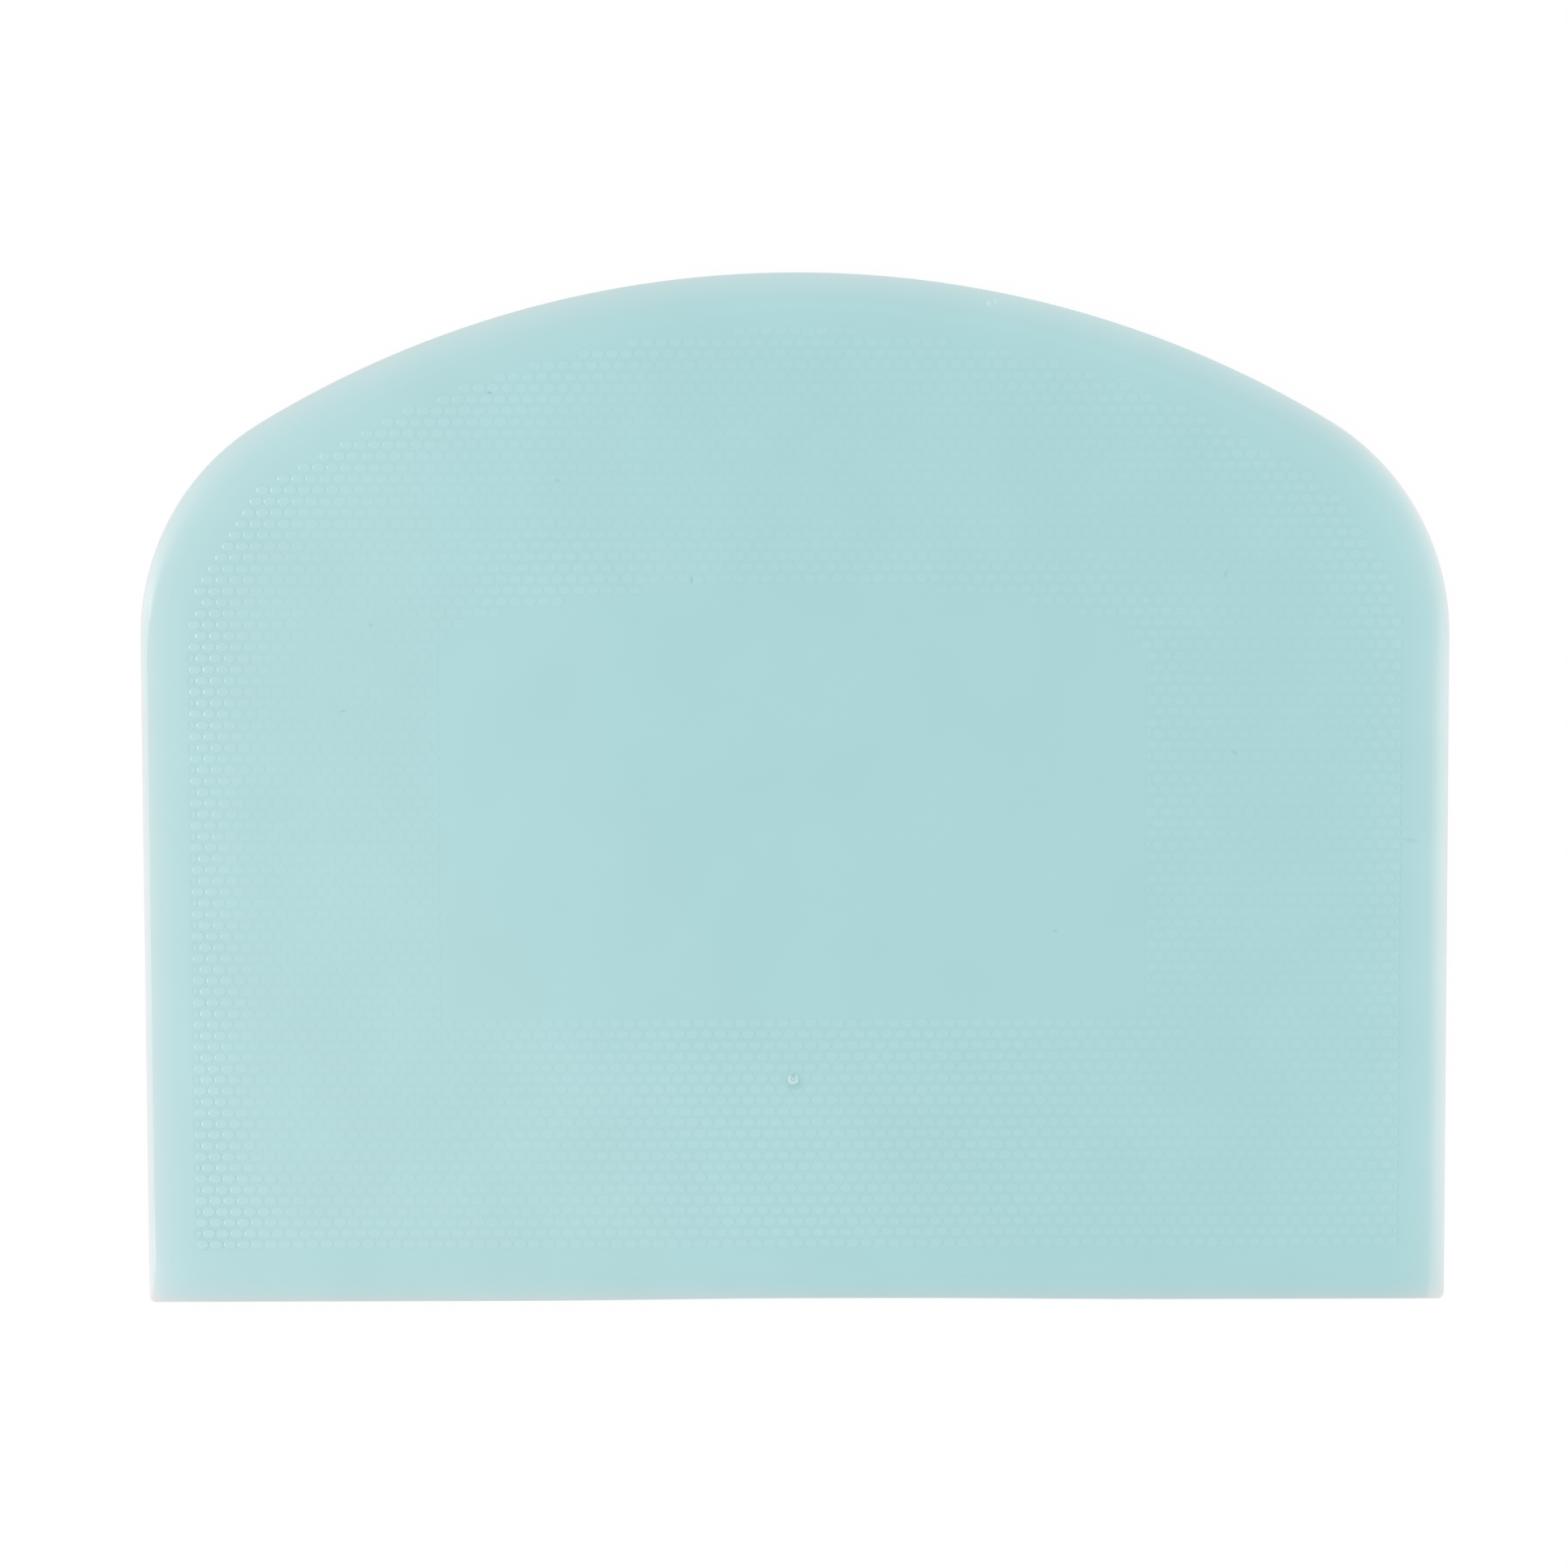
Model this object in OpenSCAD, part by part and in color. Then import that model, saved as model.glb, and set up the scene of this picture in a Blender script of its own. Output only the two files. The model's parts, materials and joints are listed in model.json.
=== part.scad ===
// Bowl scraper: a soft silicone blade moulded over a stiff core plate.
// X runs along the straight base, Y from the base to the crown of the arch, and Z through the thickness.
// The origin is under the middle of the blade, on the plane that the blade lies on.

/* [Outline] */
// Width across the two straight sides
blade_w = 120.65; // [105:0.05:150]
// Height from the straight base to the crown of the arch
blade_h = 95.25; // [85:0.05:110]
// Radius of the arched scraping edge
arch_r = 95.25; // [85:0.05:120]
// Radius of the shoulders between the arch and the sides
shoulder_r = 23; // [15:0.5:30]
// Radius of the two corners at the base
corner_r = 0.8; // [0.4:0.1:3]

/* [Thickness] */
// Thickness of the blade between its two bare faces
blade_t = 2.3; // [1.8:0.1:4]
// Thickness left at the rim
rim_t = 0.9; // [0.6:0.1:1.4]
// Width of the long taper along the arch and the base
scraping_taper = 2.4; // [1.5:0.1:4]
// Width of the short bevel down the sides and round the shoulders
side_bevel = 1.1; // [0.5:0.1:1.5]

/* [Grip field] */
// Height that the tops of the grip beads stand above each bare face
grip_rise = 0.1; // [0.05:0.05:0.4]
// Bare border between the grip field and the sides
side_border = 4.6; // [3:0.1:8]
// Bare border between the grip field and the arch or the base
edge_border = 5; // [4:0.1:8]
// Width of the bare window in the grip field
window_w = 65.2; // [40:0.2:80]
// Height of the window at its middle
window_h = 40.1; // [30:0.1:46]
// Distance from the base of the blade to the base of the window
window_lift = 26.5; // [20:0.1:28]
// Radius of the window's arched top
window_arch_r = 130; // [100:1:200]
// Radius of the window's two upper corners
window_corner_r = 3.2; // [2:0.1:8]

/* [Gate mark] */
// Diameter of the shallow ring left where the mould was filled
gate_d = 1.2; // [0.8:0.1:2]
// Diameter of the trimmed stub inside the ring
gate_stub_d = 0.6; // [0.3:0.1:0.7]
// Distance from the base of the blade to the gate mark
gate_lift = 20.9; // [12:0.1:25]

/* [Core plate] */
// Thickness of the core plate
core_t = 1; // [0.6:0.1:1.2]
// Width of the flexible silicone margin outside the core plate
core_margin = 8; // [6:0.5:14]
// Radius of the core plate's two corners at the base
core_corner_r = 4; // [2:0.5:8]
// Diameter of the holes that the silicone plugs fill
plug_d = 4; // [2:0.5:6]
// Distance between neighbouring plugs in a row
plug_pitch = 14; // [10:0.5:20]
// Least width of core plate left between a hole and its edge
plug_land = 3; // [2:0.5:6]
// Thickness of the bonding film between the core plate and the silicone
bond_film = 0.02; // [0.01:0.01:0.05]

/* [Hidden] */
$fn = 96;
over = 1;
blade_colour = [0.68, 0.85, 0.86];
core_colour = [0.93, 0.93, 0.90];
full_t = blade_t + 2 * grip_rise;
mid_z = full_t / 2;
arch_y = blade_h - arch_r;
row_step = plug_pitch * sin(60);
shoulder_x = blade_w / 2 - shoulder_r;

// Height of a shoulder's centre above the base, where its arc meets the arch without a kink
function shoulder_y(side_in, edge_in) =
    let (centre_gap = arch_r - edge_in - (shoulder_r - side_in))
    arch_y + sqrt(centre_gap * centre_gap - shoulder_x * shoulder_x);

// Cross-section of the blade at its rim: full thickness inside, tapering to a round lip at the reach
module rim_section(reach, taper) {
    lip_r = rim_t / 2;
    low_z = grip_rise;
    high_z = grip_rise + blade_t;
    polygon([
        [0, low_z],
        [reach - taper, low_z],
        [reach - lip_r, mid_z - lip_r],
        [reach - lip_r, mid_z + lip_r],
        [reach - taper, high_z],
        [0, high_z]
    ]);
    translate([reach - lip_r, mid_z]) circle(r = lip_r);
}

// Room above the shoulders' centres, bounded by the two lines on which the arch meets the shoulders
module arch_wedge(side_in, edge_in) {
    low_y = shoulder_y(side_in, edge_in);
    top_y = blade_h + over;
    spread = shoulder_x * (top_y - arch_y) / (low_y - arch_y);
    polygon([[-shoulder_x, low_y], [shoulder_x, low_y], [spread, top_y], [-spread, top_y]]);
}

// The blade's D outline, drawn in from its sides by one distance and from its arch and base by another
module d_outline(side_in, edge_in, base_corner_r) {
    half_w = blade_w / 2 - side_in;
    top_y = shoulder_y(side_in, edge_in);
    translate([-half_w, edge_in + base_corner_r])
        square([2 * half_w, top_y - edge_in - base_corner_r]);
    translate([-half_w + base_corner_r, edge_in])
        square([2 * (half_w - base_corner_r), 2 * base_corner_r]);
    for (side = [-1, 1]) {
        translate([side * (half_w - base_corner_r), edge_in + base_corner_r]) circle(r = base_corner_r);
        translate([side * shoulder_x, top_y]) circle(r = shoulder_r - side_in);
    }
    intersection() {
        arch_wedge(side_in, edge_in);
        translate([0, arch_y]) circle(r = arch_r - edge_in);
    }
}

// Solid under the arch's long taper, turned so that its seam lies at the crown
module arch_disc() {
    translate([0, arch_y, 0]) rotate([0, 0, 90]) rotate_extrude() rim_section(arch_r, scraping_taper);
}

// Solid above the base's long taper
module base_slab() {
    translate([-blade_w / 2 - over, blade_h + over, 0])
        rotate([90, 0, 90])
            linear_extrude(blade_w + 2 * over)
                mirror([1, 0]) rim_section(blade_h + over, scraping_taper);
}

// Solid inside the short bevels of the sides and the shoulders
module side_slab() {
    top_y = shoulder_y(0, 0);
    for (side = [0, 1])
        mirror([side, 0, 0])
            translate([0, top_y, 0])
                rotate([90, 0, 0]) linear_extrude(top_y + over) rim_section(blade_w / 2, side_bevel);
    for (side = [-1, 1])
        translate([side * shoulder_x, top_y, 0]) rotate_extrude() rim_section(shoulder_r, side_bevel);
    linear_extrude(full_t) arch_wedge(0, 0);
}

// The blade without its grip field, its gate mark or its pocket
module bare_blade() {
    intersection() {
        arch_disc();
        base_slab();
        side_slab();
        linear_extrude(full_t) d_outline(0, 0, corner_r);
    }
}

// Bare window: straight base and sides, round upper corners and a gently arched top
module window_outline() {
    half_w = window_w / 2;
    top_y = window_lift + window_h;
    centre_y = top_y - window_arch_r;
    corner_x = half_w - window_corner_r;
    reach = window_arch_r - window_corner_r;
    corner_y = centre_y + sqrt(reach * reach - corner_x * corner_x);
    spread = corner_x * (window_arch_r + over) / (corner_y - centre_y);
    translate([-half_w, window_lift]) square([window_w, corner_y - window_lift]);
    for (side = [-1, 1])
        translate([side * corner_x, corner_y]) circle(r = window_corner_r);
    intersection() {
        polygon([[-corner_x, corner_y], [corner_x, corner_y], [spread, top_y + over], [-spread, top_y + over]]);
        translate([0, centre_y]) circle(r = window_arch_r);
    }
}

// Grip field of one face, as the even layer that its bead tops lie in
module grip_layer() {
    linear_extrude(grip_rise)
        difference() {
            d_outline(side_border, edge_border, corner_r);
            window_outline();
        }
}

// Shallow ring round a trimmed stub, sunk into the front face's grip layer
module gate_ring() {
    translate([0, gate_lift, full_t - grip_rise])
        difference() {
            cylinder(h = grip_rise + over, d = gate_d);
            translate([0, 0, -over]) cylinder(h = grip_rise / 2 + over, d = gate_stub_d);
        }
}

// True where a plug's hole keeps its land inside the core plate's outline
function holds_plug(x, y) =
    let (keep = core_margin + plug_land + plug_d / 2)
    let (round_r = shoulder_r - keep)
    let (past_x = abs(x) - shoulder_x)
    let (past_y = y - shoulder_y(keep, keep))
    let (in_sides = abs(x) <= blade_w / 2 - keep)
    let (in_base = y >= keep)
    let (in_arch = norm([x, y - arch_y]) <= arch_r - keep)
    let (in_shoulder = past_x < 0 || past_y < 0 || norm([past_x, past_y]) <= max(round_r, 0))
    in_sides && in_base && in_arch && in_shoulder;

// Core plate grown by a clearance on every side, with its plug holes shrunk by the same clearance
module core_form(clear) {
    first_y = core_margin + plug_land + plug_d / 2;
    rows = floor((blade_h - 2 * first_y) / row_step);
    half_count = ceil(blade_w / plug_pitch / 2);
    translate([0, 0, mid_z - core_t / 2 - clear])
        linear_extrude(core_t + 2 * clear)
            difference() {
                d_outline(core_margin - clear, core_margin - clear, core_corner_r);
                for (row = [0:rows], place = [-half_count:half_count]) {
                    x = (place + (row % 2) / 2) * plug_pitch;
                    y = first_y + row * row_step;
                    if (holds_plug(x, y)) translate([x, y]) circle(d = plug_d - 2 * clear);
                }
            }
}

module silicone_blade() {
    color(blade_colour)
        translate([0, -blade_h / 2, 0])
            difference() {
                union() {
                    bare_blade();
                    grip_layer();
                    translate([0, 0, full_t - grip_rise]) grip_layer();
                }
                core_form(bond_film);
                gate_ring();
            }
}

module core_plate() {
    color(core_colour) translate([0, -blade_h / 2, 0]) core_form(0);
}

silicone_blade();
core_plate();
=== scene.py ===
# %% [markdown]
# # A flexible bowl scraper
# The real object is a flat, D-shaped moulding of pale aqua silicone, 4 3/4 by 3 3/4 inches, with a
# stiff nylon plate sealed inside it. It lies on its back on a white table and is seen from above.
# The CAD model already says how big it is and where everything goes. This lesson dresses that frame:
# a soft rim, thousands of grip beads, the mark of the mould's gate, and the look of satin silicone.

# %% Load the fixed frame
import json
import math

import bpy
import numpy as np
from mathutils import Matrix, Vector

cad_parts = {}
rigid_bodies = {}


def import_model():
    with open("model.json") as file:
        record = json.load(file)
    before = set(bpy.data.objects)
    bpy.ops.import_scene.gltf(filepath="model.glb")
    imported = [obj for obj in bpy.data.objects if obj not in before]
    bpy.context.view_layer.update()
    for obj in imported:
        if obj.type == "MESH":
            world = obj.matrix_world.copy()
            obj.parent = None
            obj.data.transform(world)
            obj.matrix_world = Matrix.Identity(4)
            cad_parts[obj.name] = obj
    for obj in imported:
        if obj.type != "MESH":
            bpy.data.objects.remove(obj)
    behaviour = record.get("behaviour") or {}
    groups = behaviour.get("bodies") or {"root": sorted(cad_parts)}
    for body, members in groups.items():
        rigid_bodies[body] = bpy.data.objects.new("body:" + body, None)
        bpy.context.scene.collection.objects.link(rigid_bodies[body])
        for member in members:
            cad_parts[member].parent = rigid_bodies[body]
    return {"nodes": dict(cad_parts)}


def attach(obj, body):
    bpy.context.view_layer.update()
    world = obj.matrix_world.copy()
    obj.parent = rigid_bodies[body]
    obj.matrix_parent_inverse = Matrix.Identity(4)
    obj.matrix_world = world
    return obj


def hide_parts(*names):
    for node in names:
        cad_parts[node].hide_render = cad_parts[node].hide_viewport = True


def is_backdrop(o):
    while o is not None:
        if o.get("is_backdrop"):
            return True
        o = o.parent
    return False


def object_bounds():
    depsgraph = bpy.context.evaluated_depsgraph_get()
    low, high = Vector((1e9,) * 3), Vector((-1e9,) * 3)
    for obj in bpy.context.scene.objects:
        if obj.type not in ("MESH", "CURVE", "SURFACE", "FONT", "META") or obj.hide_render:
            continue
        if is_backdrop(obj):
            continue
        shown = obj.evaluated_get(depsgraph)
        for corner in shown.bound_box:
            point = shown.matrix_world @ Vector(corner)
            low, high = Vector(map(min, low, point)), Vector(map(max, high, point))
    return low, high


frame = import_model()
cad_low, cad_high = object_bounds()
MM = 0.001
print("CAD box in mm:", [round(v / MM, 2) for v in (*cad_low, *cad_high)])

# %% [markdown]
# ## The camera
# The photograph was taken from almost straight above: the left and right sides lean together by only
# 1% from the shoulders to the base. Such a small lean means a long lens, and a camera that stands a
# little past the arch. Its aim, distance, tilt and roll were solved from the outline in the picture.

# %% Place the camera over the scraper
CAMERA_AIM = Vector((-1.046, 0.540, 0)) * MM
CAMERA_DISTANCE = 403.738 * MM
CAMERA_TILT = math.radians(4.255)
CAMERA_ROLL = math.radians(-0.163)
LENS_MM = 100
SENSOR_MM = 36

towards_camera = Vector((0, math.sin(CAMERA_TILT), math.cos(CAMERA_TILT)))
bpy.ops.object.camera_add(location=CAMERA_AIM + CAMERA_DISTANCE * towards_camera)
camera = bpy.context.object
camera.name = "camera_over_table"
camera.rotation_mode = "ZYX"
camera.rotation_euler = (-CAMERA_TILT, 0, CAMERA_ROLL)
camera.data.lens = LENS_MM
camera.data.sensor_width = SENSOR_MM
bpy.context.scene.camera = camera
print("Camera stands", round(camera.location.z, 3), "m above the table")

# %% [markdown]
# ## Working by selection
# Blender's operators act on whatever is selected, as they do under a modeller's hand. Loading the frame
# leaves its nodes selected, so every step starts by letting go of everything. The helpers below do
# the selecting: let go, take one piece or several, join them, and pick vertices by place.

# %% Helpers that select
def let_go():
    """Leaves edit mode and selects nothing."""
    if bpy.context.mode != "OBJECT":
        bpy.ops.object.mode_set(mode="OBJECT")
    bpy.ops.object.select_all(action="DESELECT")


def take(piece):
    """Makes one piece the selected and active one."""
    let_go()
    piece.select_set(True)
    bpy.context.view_layer.objects.active = piece


def take_all(main, others):
    """Selects several pieces and makes the main one the active one."""
    take(main)
    for part in others:
        part.select_set(True)


def join_all(main, others):
    """Joins the other pieces into the main one."""
    take_all(main, others)
    bpy.ops.object.join()


def pick_vertices(piece, chosen):
    """Opens the piece with only the chosen vertices selected; chosen holds one truth value per vertex."""
    take(piece)
    mesh = piece.data
    mesh.polygons.foreach_set("select", np.zeros(len(mesh.polygons), bool))
    mesh.edges.foreach_set("select", np.zeros(len(mesh.edges), bool))
    mesh.vertices.foreach_set("select", np.asarray(chosen, bool))
    bpy.ops.object.mode_set(mode="EDIT")
    bpy.ops.mesh.select_mode(type="VERT")


def vertex_places(piece):
    """All vertices of the piece as rows of x, y, z in metres."""
    places = np.empty(len(piece.data.vertices) * 3, np.float32)
    piece.data.vertices.foreach_get("co", places)
    return places.reshape(-1, 3)


# %% [markdown]
# ## The D outline
# The outline is a straight base, two parallel sides, two round shoulders, and an arch whose radius
# equals the scraper's height, so that its centre lies on the base. Sides, shoulders and arch meet
# without a kink, and small round corners join them to the base. It could be a bezier curve, but a line
# that is extruded along the straight runs and spun round the arcs puts every vertex exactly on the
# true shape, like a compass and ruler.

# %% Trace the outline with extrude and spin
HALF_WIDTH = cad_high.x
BASE_Y = cad_low.y
ARCH_RADIUS = 95.25 * MM
SHOULDER_RADIUS = 23 * MM
SHOULDER_X = HALF_WIDTH - SHOULDER_RADIUS
CORNER_RADIUS = 0.8 * MM
MID_Z = 1.25 * MM
WELD_GAP = 0.01 * MM
SAME_SPOT = 0.001 * MM
BASE_STEPS = 24
CORNER_STEPS = 6
SIDE_STEPS = 8
SHOULDER_STEPS = 20
ARCH_STEPS = 60


def shoulder_y(side_in, edge_in):
    """Height of a shoulder's centre, where its arc meets the arch without a kink."""
    centre_gap = ARCH_RADIUS - edge_in - (SHOULDER_RADIUS - side_in)
    return BASE_Y + math.sqrt(centre_gap ** 2 - SHOULDER_X ** 2)


def run_straight(x, y, steps):
    """Draws on from the selected vertex in equal steps."""
    for _ in range(steps):
        bpy.ops.mesh.extrude_region_move(TRANSFORM_OT_translate={"value": (x / steps, y / steps, 0)})


def run_round(centre, turn, steps):
    """Draws on from the selected vertex along an arc, anticlockwise, which spin counts as negative."""
    bpy.ops.mesh.spin(steps=steps, angle=-turn, center=centre, axis=(0, 0, 1))


def trace_ring(left_in, right_in, edge_in, corner_radius, z):
    """One closed D line at height z, drawn in by its own distance at each side and at the arch and base."""
    left_x = -HALF_WIDTH + left_in + corner_radius
    right_x = HALF_WIDTH - right_in - corner_radius
    base = BASE_Y + edge_in
    right_y = shoulder_y(right_in, edge_in)
    left_y = shoulder_y(left_in, edge_in)
    right_turn = math.atan2(right_y - BASE_Y, SHOULDER_X)
    left_turn = math.atan2(left_y - BASE_Y, SHOULDER_X)
    let_go()
    bpy.ops.mesh.primitive_plane_add(size=1 * MM, location=(left_x, base, z))
    bpy.ops.object.transform_apply(location=True)
    ring = bpy.context.object
    bpy.ops.object.mode_set(mode="EDIT")
    bpy.ops.mesh.select_mode(type="VERT")
    bpy.ops.mesh.select_all(action="SELECT")
    bpy.ops.mesh.merge(type="CENTER")
    run_straight(right_x - left_x, 0, BASE_STEPS)
    run_round((right_x, base + corner_radius, z), math.pi / 2, CORNER_STEPS)
    run_straight(0, right_y - base - corner_radius, SIDE_STEPS)
    run_round((SHOULDER_X, right_y, z), right_turn, SHOULDER_STEPS)
    run_round((0, BASE_Y, z), math.pi - right_turn - left_turn, ARCH_STEPS)
    run_round((-SHOULDER_X, left_y, z), left_turn, SHOULDER_STEPS)
    run_straight(0, base + corner_radius - left_y, SIDE_STEPS)
    run_round((left_x, base + corner_radius, z), math.pi / 2, CORNER_STEPS)
    bpy.ops.mesh.select_all(action="SELECT")
    bpy.ops.mesh.remove_doubles(threshold=WELD_GAP)
    bpy.ops.object.mode_set(mode="OBJECT")
    return ring


first_ring = trace_ring(0, 0, 0, CORNER_RADIUS, MID_Z)
ring_box = vertex_places(first_ring)
print("One ring:", len(ring_box), "vertices,", np.round(np.ptp(ring_box, 0) / MM, 2), "mm")

# %% [markdown]
# ## The blade's soft rim
# On this blade the arch and the base taper over about 2.4 mm to a round lip 0.9 mm thick, which bends
# against a bowl. The sides only have a short bevel, a little wider on the right. An extruded D with a
# Bevel modifier would give every side the same edge, so the rim is lofted instead: one ring for each
# change of slope, each drawn in by its own distances, and neighbouring rings bridged with quads. No
# two of a face's rings lie at one height, because bridging flat rings can turn the last cap over.
# In the picture the base bows in a little near its middle, so it is pulled up there with a soft
# falloff.

# %% Loft the blade through its rings
BOW_RISE = 0.18 * MM
BOW_X = 3 * MM
BOW_HALF_WIDTH = 6 * MM
BOW_TOP_Y = BASE_Y + 3.9 * MM
BOW_REACH = 26 * MM

# In from the left, from the right, and from the arch and base; corner radius; rise from the middle
RIM_PROFILE_MM = [
    (0.00, 0.00, 0.00, 0.6, 0.00),
    (0.08, 0.08, 0.08, 0.6, 0.26),
    (0.27, 0.29, 0.31, 0.7, 0.43),
    (0.50, 0.75, 1.30, 1.6, 0.77),
    (0.75, 1.30, 2.30, 2.8, 1.12),
    (0.95, 1.60, 2.80, 3.2, 1.14),
    (1.60, 2.40, 3.80, 4.0, 1.15),
]


def trace_profile_ring(profile, face):
    """A ring of the rim's profile, on the front (1) or the back (-1) of the blade's middle plane."""
    left_in, right_in, edge_in, corner_radius, rise = (value * MM for value in profile)
    return trace_ring(left_in, right_in, edge_in, corner_radius, MID_Z + face * rise)


bpy.data.objects.remove(first_ring)
back_rings = [trace_profile_ring(profile, -1) for profile in RIM_PROFILE_MM[:0:-1]]
front_rings = [trace_profile_ring(profile, 1) for profile in RIM_PROFILE_MM]
blade, *later_rings = back_rings + front_rings
ring_size = len(blade.data.vertices)
for ring in later_rings:
    join_all(blade, [ring])
blade.name = "moulded_blade"
ring_of = np.arange(len(blade.data.vertices)) // ring_size
ring_count = ring_of[-1] + 1
for lower in range(ring_count - 1):
    pick_vertices(blade, (ring_of == lower) | (ring_of == lower + 1))
    bpy.ops.mesh.bridge_edge_loops()
for end in (0, ring_count - 1):
    pick_vertices(blade, ring_of == end)
    bpy.ops.mesh.edge_face_add()
places = vertex_places(blade)
pick_vertices(blade, (abs(places[:, 0] - BOW_X) < BOW_HALF_WIDTH) & (places[:, 1] < BOW_TOP_Y))
bpy.ops.transform.translate(
    value=(0, BOW_RISE, 0), use_proportional_edit=True,
    proportional_edit_falloff="SMOOTH", proportional_size=BOW_REACH)
bpy.ops.mesh.select_all(action="SELECT")
bpy.ops.mesh.normals_make_consistent(inside=False)
let_go()
print("Blade:", ring_count, "rings,", len(blade.data.polygons), "faces")

# %% [markdown]
# ## The pocket for the core
# A nylon plate with round holes is moulded in, and the silicone runs through its holes as plugs.
# The blade would be a solid block without a pocket for it. The CAD node's inner wall is that
# pocket, so a copy of the node is welded, its outer skin deleted, and the rest joined to the new blade.

# %% Give the blade its pocket
BLADE_SMOOTH = math.radians(35)

take(frame["nodes"]["silicone_blade"])
bpy.ops.object.duplicate()
pocket = bpy.context.object
pocket.data.materials.clear()
bpy.ops.mesh.customdata_custom_splitnormals_clear()
bpy.ops.object.mode_set(mode="EDIT")
bpy.ops.mesh.select_all(action="SELECT")
bpy.ops.mesh.remove_doubles(threshold=SAME_SPOT)
bpy.ops.object.mode_set(mode="OBJECT")
places = vertex_places(pocket)
pick_vertices(pocket, places[:, 0] > places[:, 0].max() - SAME_SPOT)
bpy.ops.mesh.select_linked()
bpy.ops.mesh.delete(type="VERT")
bpy.ops.object.mode_set(mode="OBJECT")
pocket_size = np.ptp(vertex_places(pocket), 0)
print("Pocket wall:", len(pocket.data.polygons), "faces,", np.round(pocket_size / MM, 2), "mm")
join_all(blade, [pocket])
bpy.ops.object.shade_smooth_by_angle(angle=BLADE_SMOOTH)

# %% [markdown]
# ## One grip bead
# Each face has a field of low pillows, 1.29 mm apart along a row and 1.03 mm from row to row, and each
# row is shifted by half a bead like bricks. A texture could fake them, but their tops carry the
# blade on the table and they catch the light at its left border, so they are real shapes. One bead is a
# box whose upright edges are bevelled and whose top is drawn in, which makes an eight-sided pillow.
# Its flanks are narrow. On the crispest beads they slope at 40 degrees or more, which lets a low
# light glint in them.

# %% Model one bead and its half-shifted neighbour
BEAD_PITCH = 1.2855 * MM
ROW_PITCH = 1.02804 * MM
FIRST_ROW_Y = BASE_Y + 5.592 * MM
AXIS_X = 0.1 * MM
COLUMNS_EACH_SIDE = 44
BEAD_BASE = Vector((1.21, 0.97, 0)) * MM
BEAD_TOP_SHARE = (0.76, 0.77, 1)
BEAD_CORNER = 0.30 * MM
FACE_Z = 2.40 * MM
BEAD_LOW_Z = 2.38 * MM
BEAD_TOP_Z = 2.50 * MM
BEAD_HEIGHT = BEAD_TOP_Z - BEAD_LOW_Z
BEAD_VERTICES = 16

first_x = AXIS_X - COLUMNS_EACH_SIDE * BEAD_PITCH
first_place = Vector((first_x, FIRST_ROW_Y, (BEAD_LOW_Z + BEAD_TOP_Z) / 2))
let_go()
bpy.ops.mesh.primitive_cube_add(
    size=1, location=first_place, scale=(BEAD_BASE.x, BEAD_BASE.y, BEAD_HEIGHT))
bpy.ops.object.transform_apply(location=True, rotation=True, scale=True)
front_beads = bpy.context.object
front_beads.name = "front_grip_beads"
box = front_beads.data
ends = [vertex_places(front_beads)[list(edge.vertices)] for edge in box.edges]
for parts in (box.polygons, box.vertices):
    parts.foreach_set("select", np.zeros(len(parts), bool))
box.edges.foreach_set("select", np.array([abs(a[2] - b[2]) > BEAD_HEIGHT / 2 for a, b in ends]))
bpy.context.tool_settings.mesh_select_mode = (False, True, False)
bpy.ops.object.mode_set(mode="EDIT")
bpy.ops.mesh.bevel(offset=BEAD_CORNER, segments=1, affect="EDGES")
bpy.ops.object.mode_set(mode="OBJECT")
pick_vertices(front_beads, vertex_places(front_beads)[:, 2] > first_place.z)
bpy.ops.transform.resize(value=BEAD_TOP_SHARE, center_override=(*first_place.xy, BEAD_TOP_Z))
bpy.ops.mesh.select_all(action="SELECT")
bpy.ops.mesh.duplicate_move(TRANSFORM_OT_translate={"value": (BEAD_PITCH / 2, ROW_PITCH, 0)})
let_go()
print("Bead pair:", len(front_beads.data.vertices), "vertices", len(front_beads.data.polygons), "faces")

# %% [markdown]
# ## The whole field
# Two Array modifiers repeat the pair across and up. The field isn't a rectangle, though: it stops
# 4.6 mm short of the sides and 5 mm short of the arch, and it leaves a bare window in the middle. The
# arch and the window's top end bead by bead, in small steps, but the sides are straight lines that
# cut through beads. So beads are deleted by their centres here, and those that straddle a straight
# border are cut in a later step.

# %% Repeat the pair over the face
FIELD_LEFT_X = -55.70 * MM
FIELD_RIGHT_X = 55.75 * MM
ARCH_BORDER = 5.15 * MM
SHOULDER_BORDER = 4.75 * MM
WINDOW_LEFT_X = -32.85 * MM
WINDOW_RIGHT_X = 32.35 * MM
WINDOW_LOW_Y = BASE_Y + 26.55 * MM
WINDOW_TOP_Y = BASE_Y + 66.65 * MM
WINDOW_ARCH_RADIUS = 130 * MM
WINDOW_CORNER = 3.2 * MM
HALF_BEAD = BEAD_BASE / 2
WINDOW_OVERLAP = 0.6 * HALF_BEAD.y
ROW_PAIRS = 42

# In metres, for places that the arch and the shoulders are no limit to
WELL_INSIDE = 1.0


def repeat(piece, count, step):
    """Repeats the piece with an applied Array modifier."""
    take(piece)
    array = piece.modifiers.new("row", "ARRAY")
    array.use_relative_offset = False
    array.use_constant_offset = True
    array.constant_offset_displace = step
    array.count = count
    bpy.ops.object.modifier_apply(modifier=array.name)


def bead_centres(piece):
    """The middle of each bead, in the order in which the beads are stored."""
    return vertex_places(piece).reshape(-1, BEAD_VERTICES, 3).mean(1)


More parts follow.
